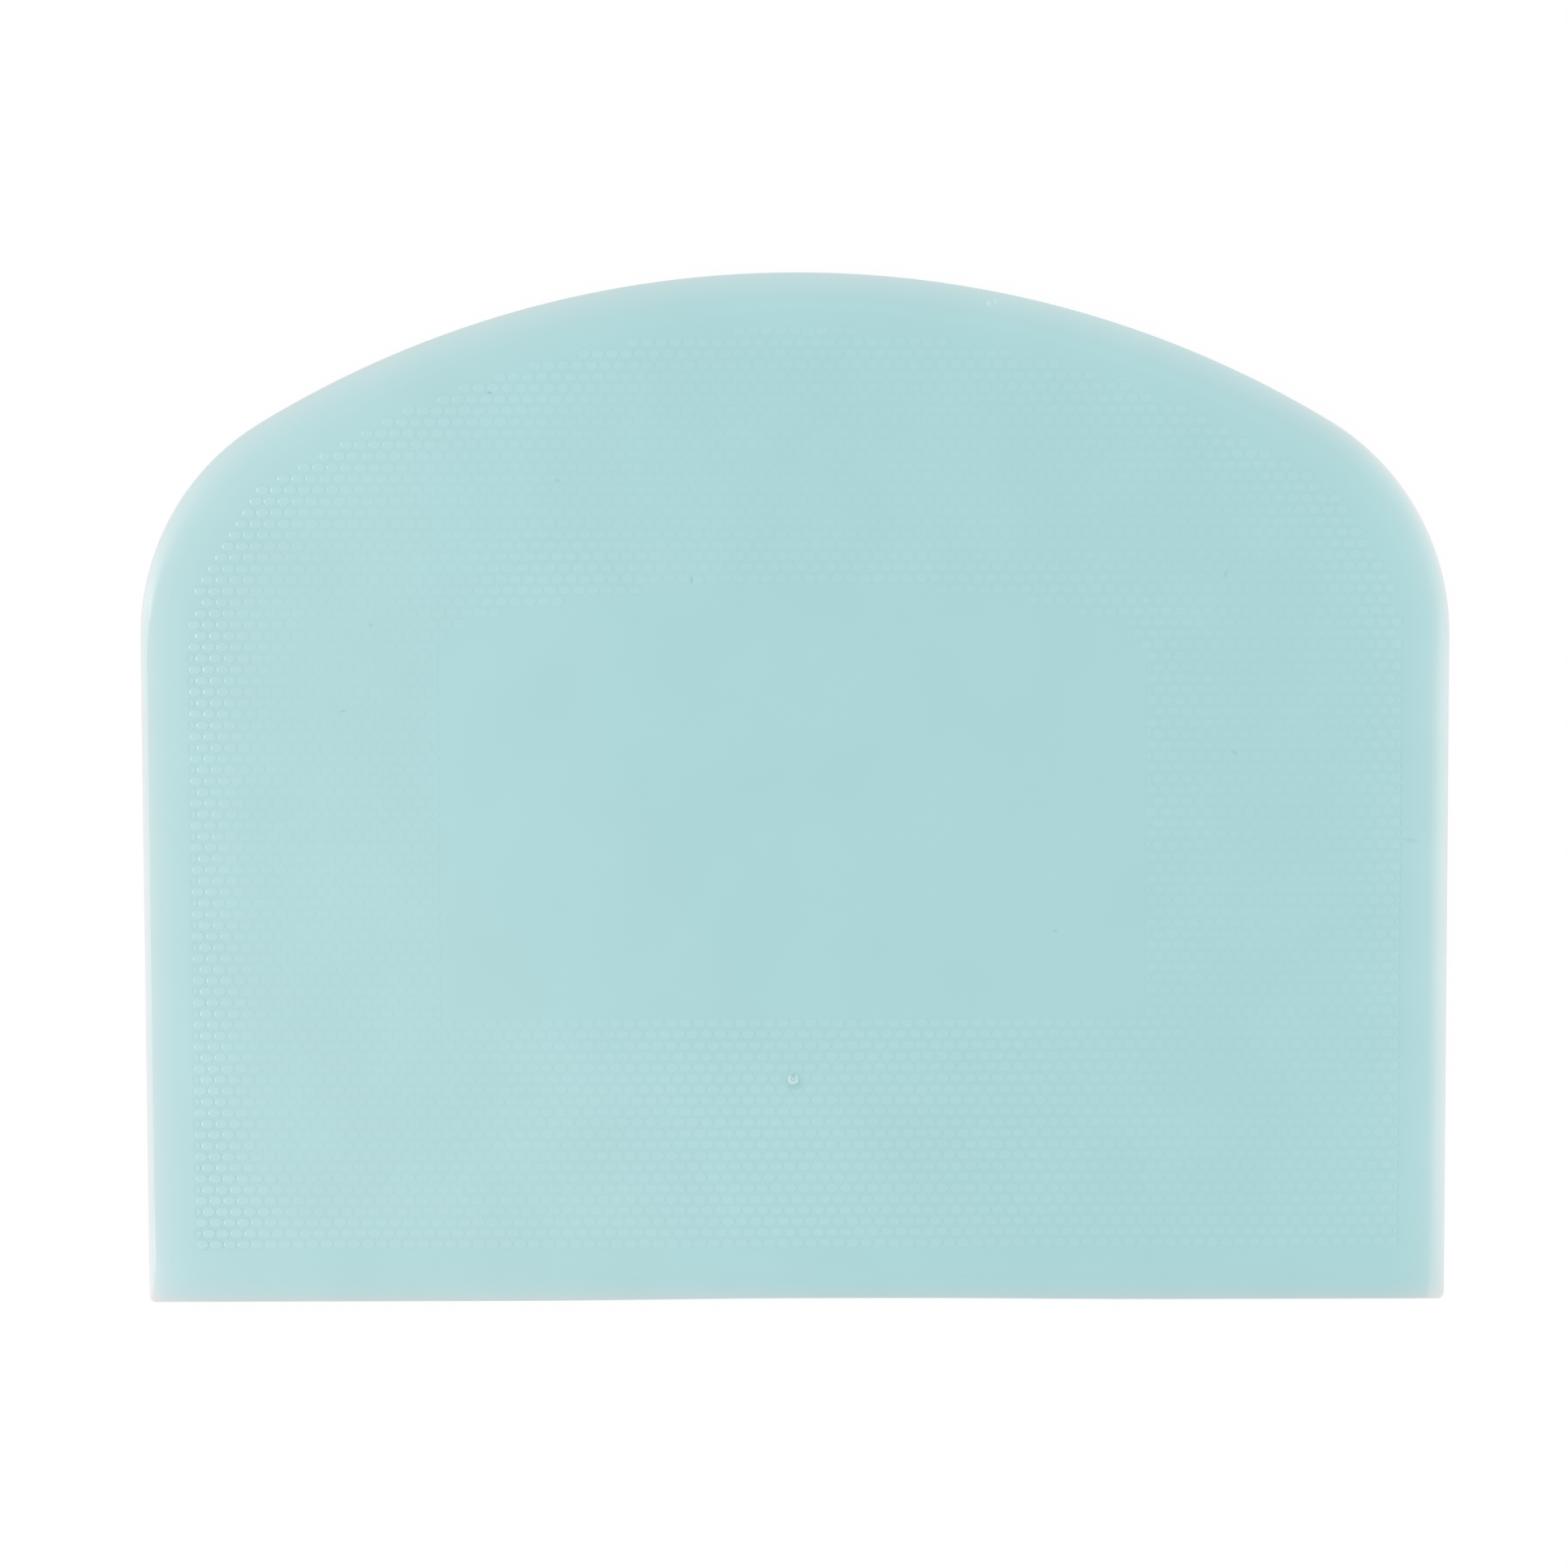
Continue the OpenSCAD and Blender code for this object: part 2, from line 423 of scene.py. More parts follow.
def inside_window(x, y):
    """True for places inside the bare window, which has round upper corners and an arched top."""
    middle = (WINDOW_LEFT_X + WINDOW_RIGHT_X) / 2
    half_width = (WINDOW_RIGHT_X - WINDOW_LEFT_X) / 2
    top = WINDOW_TOP_Y - WINDOW_ARCH_RADIUS + np.sqrt(WINDOW_ARCH_RADIUS ** 2 - (x - middle) ** 2)
    past = np.maximum(abs(x - middle) - (half_width - WINDOW_CORNER), 0)
    corner_drop = WINDOW_CORNER - np.sqrt(np.maximum(WINDOW_CORNER ** 2 - past ** 2, 0))
    return (abs(x - middle) < half_width) & (y > WINDOW_LOW_Y) & (y < top - corner_drop)


def crown_gap(x, y):
    """How far places lie inside the field's arch and shoulders, and never negative below these."""
    corner_y = shoulder_y(SHOULDER_BORDER, ARCH_BORDER)
    from_arch = ARCH_RADIUS - ARCH_BORDER - np.hypot(x, y - BASE_Y)
    from_shoulder = SHOULDER_RADIUS - SHOULDER_BORDER - np.hypot(abs(x) - SHOULDER_X, y - corner_y)
    beyond_arch = abs(x) * (corner_y - BASE_Y) > (y - BASE_Y) * SHOULDER_X
    return np.where(beyond_arch, np.where(y > corner_y, from_shoulder, WELL_INSIDE), from_arch)


repeat(front_beads, 2 * COLUMNS_EACH_SIDE + 1, (BEAD_PITCH, 0, 0))
repeat(front_beads, ROW_PAIRS, (0, 2 * ROW_PITCH, 0))
x, y = bead_centres(front_beads)[:, :2].T
outside = (crown_gap(x, y) < 0) | (x < FIELD_LEFT_X - HALF_BEAD.x) | (x > FIELD_RIGHT_X + HALF_BEAD.x)
inner = inside_window(x, y - WINDOW_OVERLAP) | inside_window(x, y)
fully_inner = inner & (x > WINDOW_LEFT_X + HALF_BEAD.x) & (x < WINDOW_RIGHT_X - HALF_BEAD.x)
pick_vertices(front_beads, np.repeat(outside | fully_inner, BEAD_VERTICES))
bpy.ops.mesh.delete(type="VERT")
let_go()
print("Field:", len(front_beads.data.vertices) // BEAD_VERTICES, "beads")

# %% [markdown]
# ## Crisp and worn beads
# The beads aren't equally crisp in the photograph. They stand out at the left border and round the left
# shoulder, less so below the window, near its upper corners and at its right side, and can hardly be
# seen in between. So most stand only 0.026 mm high and the crispest 0.1 mm, and only those carry the
# blade. Each crisp zone is a share of the full height that dies away from its border, and the highest
# share wins. A field that is scaled as a whole would look like a printed pattern.

# %% Say how high the beads of each zone stand
PLAIN_RISE = 0.026 * MM
FULL_RISE = 0.10 * MM

# Middle, height above the base, half width, half height, and how much lower the beads stand
QUIET_PATCHES_MM = [
    (8, 78, 18, 7, 0.12),
    (-39.5, 59, 7.5, 8, 0.25),
    (37.5, 19.5, 4.5, 7, 0.16),
]

# Heights above the base in mm, or places across, and then the share or the depth in mm at each
LEFT_CRISPNESS = ((6.5, 9, 18, 34, 46, 58, 66), (1, 0.84, 0.64, 0.48, 0.46, 0.65, 0.47))
LEFT_DEPTH = ((9, 13, 24, 40, 56, 64), (7, 4.6, 4.3, 3.8, 4.2, 6.3))
RIGHT_CRISPNESS, RIGHT_DEPTH = 0.22, 3.0
CROWN_CRISPNESS = (
    (-54, -46, -38, -31, -24, -17, -10, 12, 24, 38, 50),
    (0.48, 0.45, 0.36, 0.35, 0.25, 0.2, 0.14, 0.12, 0.17, 0.18, 0.35))
CROWN_DEPTH = ((-44, -28, -18), (5.7, 4.5, 3.8))
BELOW_CRISPNESS = (
    (-50, -41, -35, -28, -22, -10, 4, 14, 20, 24, 34),
    (0.04, 0.02, 0.025, 0.05, 0.13, 0.22, 0.29, 0.285, 0.24, 0.17, 0.02))
BELOW_END = ((27.5, 30), (1, 0))
BASE_CRISPNESS = ((7.2, 8.2, 12, 20), (0.24, 0.125, 0.085, 0))
BASE_SWING = ((-20, 0, 30), (1, 1.1, 0.85))
ABOVE_CRISPNESS = (
    (-38, -31, -26, -17, -9, 12, 20, 28, 33, 38),
    (0, 0.08, 0.16, 0.17, 0.12, 0.11, 0.14, 0.17, 0.12, 0))
ABOVE_DEPTH = ((-20, -11), (6.5, 4))
BESIDE_CRISPNESS = ((28, 40, 50, 64, 66), (0.11, 0.12, 0.2, 0.17, 0))
BESIDE_DEPTH = 4.5


def die_away(distance, depth):
    """A share that is 1 at a border and dies away within about the depth."""
    return np.exp(-(distance / depth) ** 2)


def quiet_share(x_mm, height):
    """How much lower the plain beads stand in the oval patches that are rubbed flattest."""
    share = 0
    for middle_x, middle_height, half_width, half_height, depth in QUIET_PATCHES_MM:
        reach = ((x_mm - middle_x) / half_width) ** 2 + ((height - middle_height) / half_height) ** 2
        share = share + depth * np.exp(-reach ** 2)
    return share


def border_shares(x, y, x_mm, height):
    """Shares of the zones along the field's outer borders: left, right, and arch with shoulders."""
    from_left = die_away(x_mm - FIELD_LEFT_X / MM, np.interp(height, *LEFT_DEPTH))
    from_right = die_away(FIELD_RIGHT_X / MM - x_mm, RIGHT_DEPTH)
    from_crown = die_away(np.maximum(crown_gap(x, y) / MM, 0), np.interp(x_mm, *CROWN_DEPTH))
    return [
        np.interp(height, *LEFT_CRISPNESS) * from_left,
        RIGHT_CRISPNESS * from_right,
        np.interp(x_mm, *CROWN_CRISPNESS) * from_crown,
    ]


def window_shares(x_mm, height):
    """Shares of the zones below the window, along the base, above the window and to its right."""
    above_gap = height - (WINDOW_TOP_Y - BASE_Y) / MM + x_mm ** 2 / (2 * WINDOW_ARCH_RADIUS / MM)
    from_top = np.exp(-(above_gap / np.interp(x_mm, *ABOVE_DEPTH)) ** 4)
    from_window = die_away(x_mm - WINDOW_RIGHT_X / MM, BESIDE_DEPTH) * (x_mm > 0)
    return [
        np.interp(x_mm, *BELOW_CRISPNESS) * np.interp(height, *BELOW_END),
        np.interp(x_mm, *BASE_SWING) * np.interp(height, *BASE_CRISPNESS),
        np.interp(x_mm, *ABOVE_CRISPNESS) * from_top,
        np.interp(height, *BESIDE_CRISPNESS) * from_window,
    ]


def bead_rise(x, y):
    """How far the tops of the beads at these places stand above the bare face."""
    x_mm = x / MM
    height = (y - BASE_Y) / MM
    shares = border_shares(x, y, x_mm, height) + window_shares(x_mm, height)
    plain = PLAIN_RISE * (1 - quiet_share(x_mm, height))
    return plain + (FULL_RISE - plain) * np.maximum.reduce(shares)


x, y = bead_centres(front_beads)[:, :2].T
rises = bead_rise(x, y)
print("Beads stand", round(rises.min() / MM, 3), "to", round(rises.max() / MM, 3), "mm above the face")

# %% [markdown]
# ## Pressing the beads down
# All beads start equally tall, and each is squashed towards its foot to its own height. Heights are
# rounded to steps of 0.0025 mm, so that one move presses all beads of the same height.

# %% Press each bead to its height
RISE_STEP = 0.0025 * MM

steps = np.round(rises / RISE_STEP).astype(int)
for step in np.unique(steps):
    pick_vertices(front_beads, np.repeat(steps == step, BEAD_VERTICES))
    flatter = (step * RISE_STEP + FACE_Z - BEAD_LOW_Z) / BEAD_HEIGHT
    bpy.ops.transform.resize(value=(1, 1, flatter), center_override=(0, 0, BEAD_LOW_Z))
let_go()
top_z = vertex_places(front_beads)[:, 2].max()
print(len(np.unique(steps)), "different heights, the highest top at", round(top_z / MM, 4), "mm")

# %% [markdown]
# ## Cutting the straight borders
# The beads that straddle a straight border are taken off as a strip, bisected and closed again, so
# that each cut bead is still a solid. At the window the cut walls are lowered too, because a sharp
# wall would draw a thin dark line there that the real border hasn't.

# %% Cut the beads that straddle a straight border
WINDOW_SIDE_TOP = WINDOW_TOP_Y - 5.6 * MM
WINDOW_WALL_SHARE = 0.3


def cut_beads(piece, border_x, keep_right, low_y=cad_low.y, high_y=cad_high.y, wall_share=1):
    """Takes off the beads that straddle a border, cuts and closes them, and lowers the cut walls."""
    centres = bead_centres(piece)
    straddles = abs(centres[:, 0] - border_x) < HALF_BEAD.x
    straddles &= (centres[:, 1] > low_y) & (centres[:, 1] < high_y)
    pick_vertices(piece, np.repeat(straddles, BEAD_VERTICES))
    bpy.ops.mesh.separate(type="SELECTED")
    bpy.ops.object.mode_set(mode="OBJECT")
    strip = next(part for part in bpy.context.selected_objects if part != piece)
    take(strip)
    bpy.ops.object.mode_set(mode="EDIT")
    bpy.ops.mesh.select_all(action="SELECT")
    bpy.ops.mesh.bisect(
        plane_co=(border_x, 0, 0), plane_no=(1, 0, 0), threshold=SAME_SPOT,
        clear_inner=keep_right, clear_outer=not keep_right)
    bpy.ops.mesh.select_all(action="SELECT")
    bpy.ops.mesh.fill_holes(sides=0)
    bpy.ops.object.mode_set(mode="OBJECT")
    places = vertex_places(strip)
    pick_vertices(strip, (abs(places[:, 0] - border_x) < SAME_SPOT) & (places[:, 2] > FACE_Z))
    bpy.ops.transform.resize(value=(1, 1, wall_share), center_override=(0, 0, FACE_Z))
    let_go()
    print("Cut at x =", round(border_x / MM, 2), "mm:", int(straddles.sum()), "beads")
    return strip


strips = [
    cut_beads(front_beads, FIELD_LEFT_X, True),
    cut_beads(front_beads, FIELD_RIGHT_X, False),
    cut_beads(front_beads, WINDOW_LEFT_X, False, WINDOW_LOW_Y, WINDOW_SIDE_TOP, WINDOW_WALL_SHARE),
    cut_beads(front_beads, WINDOW_RIGHT_X, True, WINDOW_LOW_Y, WINDOW_SIDE_TOP, WINDOW_WALL_SHARE),
]

# %% [markdown]
# ## Front and back
# The back carries the same field, because one mould pattern was used for both halves. It is a copy with
# its own mesh, mirrored through the blade's middle plane, and its normals are turned out again because
# mirroring turns a shape inside out. Only the front loses the beads round the gate mark. Both fields are
# shaded flat: smooth shading would round each bead to a dome and spread its glint over the whole top.

# %% Copy the field to the back and clear the gate
GATE_PLACE = Vector((-0.27 * MM, BASE_Y + 20.95 * MM, 2.295 * MM))
GATE_CLEARING = 0.9 * MM

take_all(front_beads, strips)
bpy.ops.object.duplicate()
back_beads = bpy.context.object
bpy.ops.object.join()
back_beads.name = "back_grip_beads"
bpy.ops.object.mode_set(mode="EDIT")
bpy.ops.mesh.select_all(action="SELECT")
bpy.ops.transform.resize(value=(1, 1, -1), center_override=(0, 0, MID_Z))
bpy.ops.mesh.normals_make_consistent(inside=False)

centres = bead_centres(front_beads)
at_gate = np.hypot(*(centres[:, :2] - np.array(GATE_PLACE.xy)).T) < GATE_CLEARING
pick_vertices(front_beads, np.repeat(at_gate, BEAD_VERTICES))
bpy.ops.mesh.delete(type="VERT")
join_all(front_beads, strips)
print("Beads cleared at the gate:", int(at_gate.sum()))
for beads in (front_beads, back_beads):
    take(beads)
    bpy.ops.object.shade_flat()
    triangles = sum(len(face.vertices) - 2 for face in beads.data.polygons)
    print(beads.name, "has", triangles, "triangles")

# %% [markdown]
# ## The gate mark
# Silicone enters the mould through a pin gate, and when the sprue is pulled off it leaves a torn ring
# about 1.1 mm across, here open at its top and a little wider at its foot, round a low stub. A torus
# with a part cut out and its two ends closed is that ring, and a tapered disc is the stub. A decal
# would stay flat in a side view.

# %% Model the torn ring and its stub
RING_RADIUS = 0.36 * MM
RING_THICKNESS = 0.195 * MM
RING_OPENING = math.radians(48)
STUB_RADIUS = 0.22 * MM
STUB_DEPTH = 0.24 * MM
STUB_TOP_SHARE = (0.7, 0.7, 1)
FOOT_DROP = 0.25 * MM
FOOT_SPREAD = (1.05, 1.08, 1)
MARK_SMOOTH = math.radians(60)

let_go()
bpy.ops.mesh.primitive_torus_add(
    location=GATE_PLACE, major_radius=RING_RADIUS, minor_radius=RING_THICKNESS,
    major_segments=36, minor_segments=10)
bpy.ops.object.transform_apply(location=True)
gate_mark = bpy.context.object
gate_mark.name = "gate_mark"
offsets = vertex_places(gate_mark) - np.array(GATE_PLACE)
from_top = abs(np.arctan2(offsets[:, 0], offsets[:, 1]))
pick_vertices(gate_mark, from_top < RING_OPENING / 2)
bpy.ops.mesh.delete(type="VERT")
bpy.ops.mesh.select_all(action="SELECT")
bpy.ops.mesh.region_to_loop()
bpy.ops.mesh.edge_face_add()
bpy.ops.object.mode_set(mode="OBJECT")
print("Ring:", len(gate_mark.data.vertices), "vertices")
bpy.ops.mesh.primitive_cylinder_add(
    vertices=20, radius=STUB_RADIUS, depth=STUB_DEPTH, location=GATE_PLACE)
bpy.ops.object.transform_apply(location=True)
stub = bpy.context.object
pick_vertices(stub, vertex_places(stub)[:, 2] > GATE_PLACE.z)
bpy.ops.transform.resize(value=STUB_TOP_SHARE, center_override=GATE_PLACE)
join_all(gate_mark, [stub])
pick_vertices(gate_mark, vertex_places(gate_mark)[:, 1] < GATE_PLACE.y - FOOT_DROP)
bpy.ops.transform.resize(value=FOOT_SPREAD, center_override=GATE_PLACE)
take(gate_mark)
bpy.ops.object.shade_smooth_by_angle(angle=MARK_SMOOTH)
print("Gate mark top at", round(vertex_places(gate_mark)[:, 2].max() / MM, 3), "mm")

# %% [markdown]
# ## Building node groups
# The finishes share three effects: where the skin is thin, how fine its grain is, and where dust lies.
# Each is a node group with named inputs and outputs, so that any material can place it with its
# own values. The helpers here add one node at a time and wire it: a number is typed into the socket,
# and another node's output is linked to it.

# %% Helpers that wire nodes
# Where a Mix node keeps its two colour inputs and its colour output
FIRST_COLOUR, SECOND_COLOUR, MIXED_COLOUR = 6, 7, 2


def fill(tree, socket, value):
    """Types a number or colour into a socket, or links another socket to it."""
    if isinstance(value, bpy.types.NodeSocket):
        tree.links.new(value, socket)
    else:
        socket.default_value = value


def calculate(tree, operation, *values):
    """One Math node and its output."""
    node = tree.nodes.new("ShaderNodeMath")
    node.operation = operation
    for socket, value in zip(node.inputs, values):
        fill(tree, socket, value)
    return node.outputs["Value"]


def vector_step(tree, operation, *values):
    """One Vector Math node and its outputs."""
    node = tree.nodes.new("ShaderNodeVectorMath")
    node.operation = operation
    for socket, value in zip(node.inputs, values):
        fill(tree, socket, value)
    return node.outputs


def axes_of(tree, place):
    """The X, Y and Z of a place, as outputs."""
    node = tree.nodes.new("ShaderNodeSeparateXYZ")
    fill(tree, node.inputs[0], place)
    return node.outputs


def fade(tree, value, start, end, low=0.0, high=1.0):
    """Maps a value that runs from start to end smoothly onto low to high."""
    node = tree.nodes.new("ShaderNodeMapRange")
    node.interpolation_type = "SMOOTHSTEP"
    settings = {"Value": value, "From Min": start, "From Max": end, "To Min": low, "To Max": high}
    for name, setting in settings.items():
        fill(tree, node.inputs[name], setting)
    return node.outputs["Result"]


def blend_colours(tree, share, first, second):
    """Mixes two colours by a share from 0 to 1."""
    node = tree.nodes.new("ShaderNodeMix")
    node.data_type = "RGBA"
    fill(tree, node.inputs["Factor"], share)
    fill(tree, node.inputs[FIRST_COLOUR], first)
    fill(tree, node.inputs[SECOND_COLOUR], second)
    return node.outputs[MIXED_COLOUR]


def start_group(name, inputs, outputs):
    """A new node group with its sockets, and its inner input and output nodes."""
    group = bpy.data.node_groups.new(name, "ShaderNodeTree")
    for label, kind in inputs:
        group.interface.new_socket(label, in_out="INPUT", socket_type="NodeSocket" + kind)
    for label, kind in outputs:
        group.interface.new_socket(label, in_out="OUTPUT", socket_type="NodeSocket" + kind)
    return group, group.nodes.new("NodeGroupInput").outputs, group.nodes.new("NodeGroupOutput").inputs


def place_group(tree, group, **values):
    """Places a group in a material and fills its inputs, whose names have underscores for spaces."""
    node = tree.nodes.new("ShaderNodeGroup")
    node.node_tree = group
    for name, value in values.items():
        fill(tree, node.inputs[name.replace("_", " ")], value)
    return node.outputs


print("Blender", bpy.app.version_string, "builds the finishes")

# %% [markdown]
# ## Where the skin is thin
# Silicone lets light through, so the blade looks paler where it thins towards the white table, and the
# material paints that light, and the light on the rim's bevels, into its colour. The group below measures
# how far a point lies from the crown (the arch, the shoulders and the sides) and from the base, in
# millimetres, with the same arcs and lines as the shape itself. It also says where the sides and their
# bevels begin, where the wider right bevel runs, and how far to the right or the left a point lies. A
# painted map would blur at this scale, and real light transport through the rim would bake badly.

# %% Build the group that measures the rim
RIM_ANSWERS = ("Crown gap", "Base gap", "Side share", "Bevel share", "Band share", "Lean")
SHOULDER_X_MM = SHOULDER_X / MM
SHOULDER_Y_MM = (shoulder_y(0, 0) - BASE_Y) / MM

# Heights above the shoulders' centres, or places across, where each share starts and is full
SIDE_FADE_MM = (21.0, 13.0)
BEVEL_FADE_MM = (21.0, 9.0)
BEVEL_SLANT = -0.11
BAND_FADE_MM = (10.0, -6.0)
RIGHT_HALF_MM = (0.0, 1.0)
FULL_LEAN_MM = 45.0


def length_of(tree, x, y):
    """The length of a flat vector."""
    return calculate(tree, "SQRT", calculate(
        tree, "ADD", calculate(tree, "MULTIPLY", x, x), calculate(tree, "MULTIPLY", y, y)))


rim_group, given, answer = start_group(
    "distance to the rim", [("Place", "Vector")], [(name, "Float") for name in RIM_ANSWERS])
axes = axes_of(rim_group, given["Place"])
x_mm = calculate(rim_group, "DIVIDE", axes["X"], MM)
y_mm = calculate(rim_group, "MULTIPLY_ADD", axes["Y"], 1 / MM, -BASE_Y / MM)
side_x = calculate(rim_group, "ABSOLUTE", x_mm)
arch_gap = calculate(rim_group, "SUBTRACT", ARCH_RADIUS / MM, length_of(rim_group, x_mm, y_mm))
side_gap = calculate(rim_group, "SUBTRACT", HALF_WIDTH / MM, side_x)
past_x = calculate(rim_group, "SUBTRACT", side_x, SHOULDER_X_MM)
past_y = calculate(rim_group, "SUBTRACT", y_mm, SHOULDER_Y_MM)
shoulder_gap = calculate(rim_group, "SUBTRACT", SHOULDER_RADIUS / MM, length_of(rim_group, past_x, past_y))
past_arch = calculate(
    rim_group, "SUBTRACT", calculate(rim_group, "MULTIPLY", side_x, SHOULDER_Y_MM),
    calculate(rim_group, "MULTIPLY", y_mm, SHOULDER_X_MM))
in_shoulder = calculate(
    rim_group, "MULTIPLY", calculate(rim_group, "GREATER_THAN", past_arch, 0),
    calculate(rim_group, "GREATER_THAN", past_y, 0))
plain_gap = calculate(rim_group, "MINIMUM", arch_gap, side_gap)
rounded = calculate(rim_group, "SUBTRACT", shoulder_gap, plain_gap)
nearest_gap = calculate(rim_group, "MULTIPLY_ADD", in_shoulder, rounded, plain_gap)
fill(rim_group, answer["Crown gap"], calculate(rim_group, "MAXIMUM", nearest_gap, 0))
fill(rim_group, answer["Base gap"], calculate(rim_group, "MAXIMUM", y_mm, 0))
fill(rim_group, answer["Side share"], fade(rim_group, past_y, *SIDE_FADE_MM))
leaning_y = calculate(rim_group, "MULTIPLY_ADD", x_mm, BEVEL_SLANT, past_y)
fill(rim_group, answer["Bevel share"], fade(rim_group, leaning_y, *BEVEL_FADE_MM))
on_right = fade(rim_group, x_mm, *RIGHT_HALF_MM)
band_share = calculate(rim_group, "MULTIPLY", fade(rim_group, past_y, *BAND_FADE_MM), on_right)
fill(rim_group, answer["Band share"], band_share)
fill(rim_group, answer["Lean"], calculate(
    rim_group, "MULTIPLY", calculate(rim_group, "DIVIDE", x_mm, FULL_LEAN_MM),
    calculate(rim_group, "SUBTRACT", 1.0, band_share)))
print("Rim group:", len(rim_group.nodes), "nodes")

# %% [markdown]
# ## Moulded grain
# A satin mould leaves a very fine, uneven grain that breaks up the gloss, and the silicone's colour
# drifts by up to 1% over the face. The nylon has both too, at its own strength, so it is a group. It
# reads Object coordinates, because the pieces have no UV map and nothing stretches. Noise stays near
# its middle value, so the materials spread only the usual range of it.

# %% Build the grain group
GRAIN_RANGE = (0.2, 0.8)
DRIFT_RANGE = (0.3, 0.7)

grain_group, given, answer = start_group(
    "moulded grain", [("Place", "Vector"), ("Grain size", "Float"), ("Drift size", "Float")],
    [("Height", "Float"), ("Drift", "Float")])


def noise(tree, place, size, detail):
    """Noise whose lumps are about size metres wide."""
    node = tree.nodes.new("ShaderNodeTexNoise")
    fill(tree, node.inputs["Vector"], place)
    fill(tree, node.inputs["Scale"], calculate(tree, "DIVIDE", 1.0, size))
    node.inputs["Detail"].default_value = detail
    return node.outputs["Fac"]


fill(grain_group, answer["Height"], noise(grain_group, given["Place"], given["Grain size"], 3.0))
fill(grain_group, answer["Drift"], noise(grain_group, given["Place"], given["Drift size"], 2.0))
print("Grain group:", len(grain_group.nodes), "nodes")

# %% [markdown]
# ## Dust, nicks and a painted shade
# A handled scraper picks up a few specks of lint that show grey on pale silicone, and near the arch there
# is a small pale double nick. Round the gate mark, where the beads are cleared, a painted shade darkens
# the colour. The group lays a soft spot at a place, with its own length, width and direction, and a little
# noise makes its border ragged. It fades out through the thickness, so that the back stays clean. The
# material adds up as many as it needs.

# %% Build the speck group
RAGGED_LUMP = 0.3 * MM
RAGGED_SWING = 0.8
RAGGED_LEAST = 0.6
SPOT_FADE = (1.0, 0.2)

speck_group, given, answer = start_group(
    "speck", [("Place", "Vector"), ("Centre", "Vector"), ("Half size", "Vector"), ("Turn", "Float")],
    [("Mask", "Float")])
turned = speck_group.nodes.new("ShaderNodeVectorRotate")
turned.rotation_type = "Z_AXIS"
fill(speck_group, turned.inputs["Vector"], vector_step(
    speck_group, "SUBTRACT", given["Place"], given["Centre"])["Vector"])
fill(speck_group, turned.inputs["Angle"], calculate(speck_group, "MULTIPLY", given["Turn"], -1))
stretched = vector_step(speck_group, "DIVIDE", turned.outputs["Vector"], given["Half size"])
distance = vector_step(speck_group, "LENGTH", stretched["Vector"])["Value"]
lumps = noise(speck_group, given["Place"], RAGGED_LUMP, 1.0)
ragged = calculate(speck_group, "MULTIPLY", distance, calculate(
    speck_group, "MULTIPLY_ADD", lumps, RAGGED_SWING, RAGGED_LEAST))
fill(speck_group, answer["Mask"], fade(speck_group, ragged, *SPOT_FADE))
print("Speck group:", len(speck_group.nodes), "nodes")

# %% [markdown]
# ## Aqua silicone
# The silicone is a satin, slightly milky aqua. Its body colour is set as it looks in flat light, and each
# effect adds a share of its own gain to it. These gains are painted light and shade: painted light that
# comes through the thin arch and base, a painted glow in from the rim, a painted highlight that turns the
# sides nearly white in their last half millimetre, the wider pale band of painted light down the right
# side, painted light that makes the rim a little paler on the right, a painted sheen on the tops of the
# crisp beads, and painted light that grows to the left and its lower corner. Only the base also has a
# faint painted shade, just above its pale edge. Reflection stays a plain dielectric one: silicone has no
# coat and no metal. Hands and dough polish the beads, so they are a little smoother than the bare skin.

# %% Build the silicone
BODY_AQUA = (0.396, 0.665, 0.682)
# Every gain below is painted light or shade laid on the body colour
PAINTED_LEFT_LIGHT_GAIN = (0.058, 0.036, 0.032)
PAINTED_ARCH_LIGHT_GAIN = (0.170, 0.036, 0.034)
PAINTED_GLOW_GAIN = (0.050, 0.065, 0.060)
PAINTED_BASE_LIGHT_GAIN = (0.165, -0.006, -0.014)
PAINTED_BASE_SHADE = (-0.012, -0.014, -0.012)
PAINTED_SIDE_LIGHT_GAIN = (0.165, 0.030, 0.030)
PAINTED_BAND_LIGHT_GAIN = (0.085, 0.042, 0.038)
PAINTED_LEAN_LIGHT_GAIN = (0.022, 0.036, 0.035)
PAINTED_CORNER_LIGHT_GAIN = (0.022, 0.014, 0.020)
PAINTED_BEAD_TOP_SHEEN = (0.0175, 0.013, 0.015)
ARCH_DEPTH_MM = 1.5
GLOW_DEPTH_MM = 3.0
BASE_DEPTH_MM = 0.85
SHADE_DEPTH_MM = 2.5
SIDE_DEPTH_MM = 0.5
LEAN_DEPTH_MM = 0.8
BAND_EDGE_MM = (1.85, 1.15)
LEFT_LIGHT_BEND_Y = 2 * MM
LEFT_LIGHT_SLANT = 0.5
PAINTED_LEFT_LIGHT_FADE = (5 * MM, -62 * MM)
PAINTED_CORNER_LIGHT_FADE = (-62 * MM, -85 * MM)
FACE_RISE = FACE_Z - MID_Z
BEAD_TOP_SHEEN_FADE = (FACE_RISE + 0.012 * MM, FACE_RISE + 0.045 * MM)
BEAD_FADE = (FACE_RISE, FACE_RISE + 0.02 * MM)
BEAD_POLISH = 0.06
SKIN_ROUGHNESS = (0.34, 0.42)
SKIN_DRIFT = (0.99, 1.01)
SILICONE_IOR = 1.43
LINT_AND_SHADE_GREY = (0.210, 0.420, 0.420, 1)
NICK_PALE = (0.740, 0.880, 0.820, 1)
SPECK_HALF_DEPTH = 1.6 * MM

